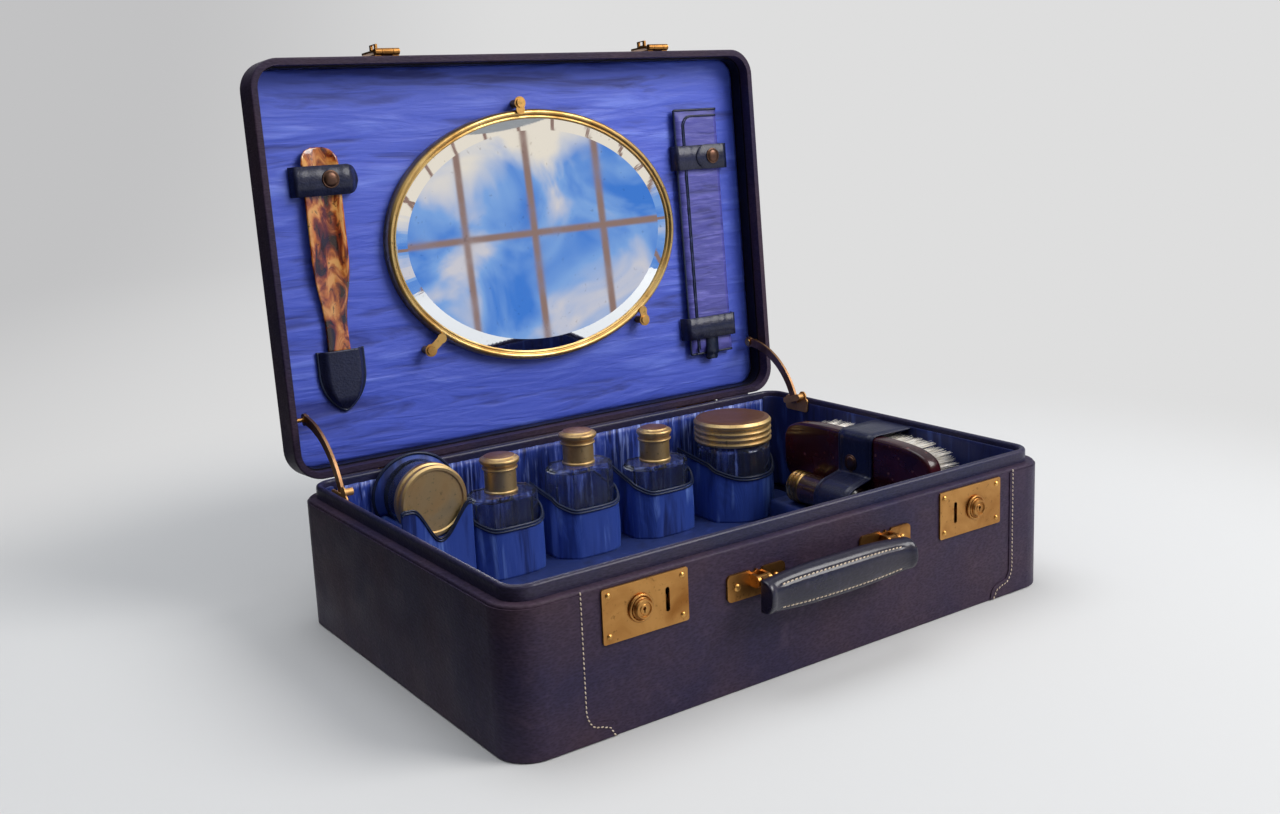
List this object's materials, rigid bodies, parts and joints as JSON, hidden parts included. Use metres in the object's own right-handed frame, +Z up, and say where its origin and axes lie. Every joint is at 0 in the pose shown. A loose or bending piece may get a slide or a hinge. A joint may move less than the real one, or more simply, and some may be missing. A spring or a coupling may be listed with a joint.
{
  "type": "fitted dressing box",
  "caption": "Leather-covered travelling dressing box with hinged lid, oval mirror, carrying handle, twin locks and a silk-lined interior fitted with bottles, jar, round box and brush.",
  "frame": {"origin": "middle of the case's underside", "axes": "+X to the right along the front, +Y from front to back, +Z up; lid stored open"},
  "size_m": [0.4214, 0.3536, 0.3834],
  "materials": {
    "navy_leather": "grained, semi-matt",
    "blue_silk": "watered silk",
    "brass": "aged, brushed",
    "dark_bronze": "dark bronze press stud",
    "clear_glass": "clear",
    "mirror": "silvered, bevelled",
    "board": "plain backing board",
    "tortoiseshell": "mottled, polished",
    "maroon_lacquer": "lacquered",
    "bristle": "stiff white bristle"
  },
  "bodies": {
    "case": {"base_shell": "navy_leather", "base_collar": "navy_leather", "floor_board": "blue_silk", "side_lining": "blue_silk", "back_pleats": "blue_silk", "end_covers": "navy_leather", "lock_plate_left": "brass", "lock_plate_right": "brass", "case_rivets": "brass", "handle_brackets": "brass", "hinge_lower_leaves": "brass", "hinge_pins": "brass", "stay_guides": "brass", "bottle_pocket_1": "blue_silk", "bottle_pocket_2": "blue_silk", "bottle_pocket_3": "blue_silk", "jar_pocket": "blue_silk", "box_pocket": "blue_silk", "brush_rack": "blue_silk", "brush_strap": "navy_leather", "strap_stud": "dark_bronze"},
    "lid": {"lid_shell": "navy_leather", "lid_lining": "navy_leather", "lid_silk": "blue_silk", "mirror_frame": "brass", "mirror_glass": "mirror", "mirror_back": "board", "lid_screws": "brass", "hasp_leaves": "brass", "hinge_upper_leaves": "brass", "horn_strap": "navy_leather", "horn_pocket": "navy_leather", "sleeve_straps": "navy_leather", "lid_studs": "dark_bronze"},
    "lock_button_left": {"lock_slide_left": "brass"},
    "lock_button_right": {"lock_slide_right": "brass"},
    "handle": {"handle_eyes": "brass", "handle_grip": "navy_leather"},
    "mirror_clip_top": {"clip_top": "brass"},
    "mirror_clip_left": {"clip_left": "brass"},
    "mirror_clip_right": {"clip_right": "brass"},
    "hasp_l": {"hasp_left": "brass"},
    "hasp_r": {"hasp_right": "brass"},
    "stay_l": {"stay_left": "brass"},
    "stay_r": {"stay_right": "brass"},
    "horn": {"shoehorn": "tortoiseshell"},
    "sleeve": {"comb_sleeve": "blue_silk"},
    "glass_bottle_1": {"bottle_1": "clear_glass"},
    "glass_bottle_2": {"bottle_2": "clear_glass"},
    "glass_bottle_3": {"bottle_3": "clear_glass"},
    "cap_1": {"bottle_cap_1": "brass"},
    "cap_2": {"bottle_cap_2": "brass"},
    "cap_3": {"bottle_cap_3": "brass"},
    "glass_jar": {"jar": "clear_glass"},
    "lid_of_jar": {"jar_lid": "brass"},
    "powder_box": {"round_box": "clear_glass", "round_box_lid": "brass"},
    "clothes_brush": {"brush_back": "maroon_lacquer", "brush_bristles": "bristle"},
    "small_tube": {"tube": "tortoiseshell"}
  },
  "joints": [
    {"name": "lid_hinge", "type": "hinge", "parent": "case", "child": "lid", "pos_m": [0, 0.1437, 0.0906], "axis": [1, 0, 0], "range_deg": [0, 93.8]},
    {"name": "stay_pivot_l", "type": "hinge", "parent": "lid", "child": "stay_l", "pos_m": [-0.1962, 0.15342, 0.13435], "axis": [1, 0, 0], "range_deg": [-22.4, 0]},
    {"name": "hasp_hinge_l", "type": "hinge", "parent": "lid", "child": "hasp_l", "pos_m": [-0.1107, 0.16214, 0.37731], "axis": [1, 0, 0], "range_deg": [0, 180]},
    {"name": "stay_pivot_r", "type": "hinge", "parent": "lid", "child": "stay_r", "pos_m": [0.1962, 0.15342, 0.13435], "axis": [1, 0, 0], "range_deg": [-22.4, 0]},
    {"name": "hasp_hinge_r", "type": "hinge", "parent": "lid", "child": "hasp_r", "pos_m": [0.1187, 0.16214, 0.37731], "axis": [1, 0, 0], "range_deg": [0, 180]},
    {"name": "lock_button_slide_left", "type": "slide", "parent": "case", "child": "lock_button_left", "axis": [-1, 0, 0], "range_m": [0, 0.003], "stiffness_N_per_m": 300},
    {"name": "lock_button_slide_right", "type": "slide", "parent": "case", "child": "lock_button_right", "axis": [1, 0, 0], "range_m": [0, 0.003], "stiffness_N_per_m": 300},
    {"name": "handle_pivot", "type": "hinge", "parent": "case", "child": "handle", "pos_m": [0, -0.1468, 0.066], "axis": [-1, 0, 0], "range_deg": [0, 75]},
    {"name": "clip_turn_top", "type": "hinge", "parent": "lid", "child": "mirror_clip_top", "pos_m": [-0.005, 0.16673, 0.33932], "axis": [0, 0.9978, -0.0663], "range_deg": [0, 90]},
    {"name": "clip_turn_left", "type": "hinge", "parent": "lid", "child": "mirror_clip_left", "pos_m": [-0.097, 0.15536, 0.168], "axis": [0, 0.9978, -0.0663], "range_deg": [0, 90]},
    {"name": "clip_turn_right", "type": "hinge", "parent": "lid", "child": "mirror_clip_right", "pos_m": [0.091, 0.15525, 0.1664], "axis": [0, 0.9978, -0.0663], "range_deg": [0, 90]},
    {"name": "horn_slide", "type": "slide", "parent": "lid", "child": "horn", "axis": [0, -0.0663, -0.9978], "range_m": [-0.038, 0]},
    {"name": "sleeve_slide", "type": "slide", "parent": "lid", "child": "sleeve", "axis": [0, -0.0663, -0.9978], "range_m": [-0.025, 0]},
    {"name": "bottle_lift_1", "type": "slide", "parent": "case", "child": "glass_bottle_1", "axis": [0, 0, -1], "range_m": [-0.062, 0]},
    {"name": "cap_lift_1", "type": "slide", "parent": "glass_bottle_1", "child": "cap_1", "axis": [0, 0, -1], "range_m": [-0.022, 0]},
    {"name": "bottle_lift_2", "type": "slide", "parent": "case", "child": "glass_bottle_2", "axis": [0, 0, -1], "range_m": [-0.07, 0]},
    {"name": "cap_lift_2", "type": "slide", "parent": "glass_bottle_2", "child": "cap_2", "axis": [0, 0, -1], "range_m": [-0.022, 0]},
    {"name": "bottle_lift_3", "type": "slide", "parent": "case", "child": "glass_bottle_3", "axis": [0, 0, -1], "range_m": [-0.06, 0]},
    {"name": "cap_lift_3", "type": "slide", "parent": "glass_bottle_3", "child": "cap_3", "axis": [0, 0, -1], "range_m": [-0.022, 0]},
    {"name": "jar_lift", "type": "slide", "parent": "case", "child": "glass_jar", "axis": [0, 0, -1], "range_m": [-0.06, 0]},
    {"name": "jar_lid_lift", "type": "slide", "parent": "glass_jar", "child": "lid_of_jar", "axis": [0, 0, -1], "range_m": [-0.022, 0]},
    {"name": "round_box_lift", "type": "slide", "parent": "case", "child": "powder_box", "axis": [0, 0, -1], "range_m": [-0.06, 0]},
    {"name": "brush_draw", "type": "slide", "parent": "case", "child": "clothes_brush", "axis": [0, 1, 0], "range_m": [-0.035, 0]},
    {"name": "tube_draw", "type": "slide", "parent": "case", "child": "small_tube", "axis": [0, 1, 0], "range_m": [-0.055, 0]}
  ],
  "couplings": [
    {"joint": "stay_pivot_l", "follows": "lid_hinge", "ratio": -0.238},
    {"joint": "stay_pivot_r", "follows": "lid_hinge", "ratio": -0.238}
  ]
}
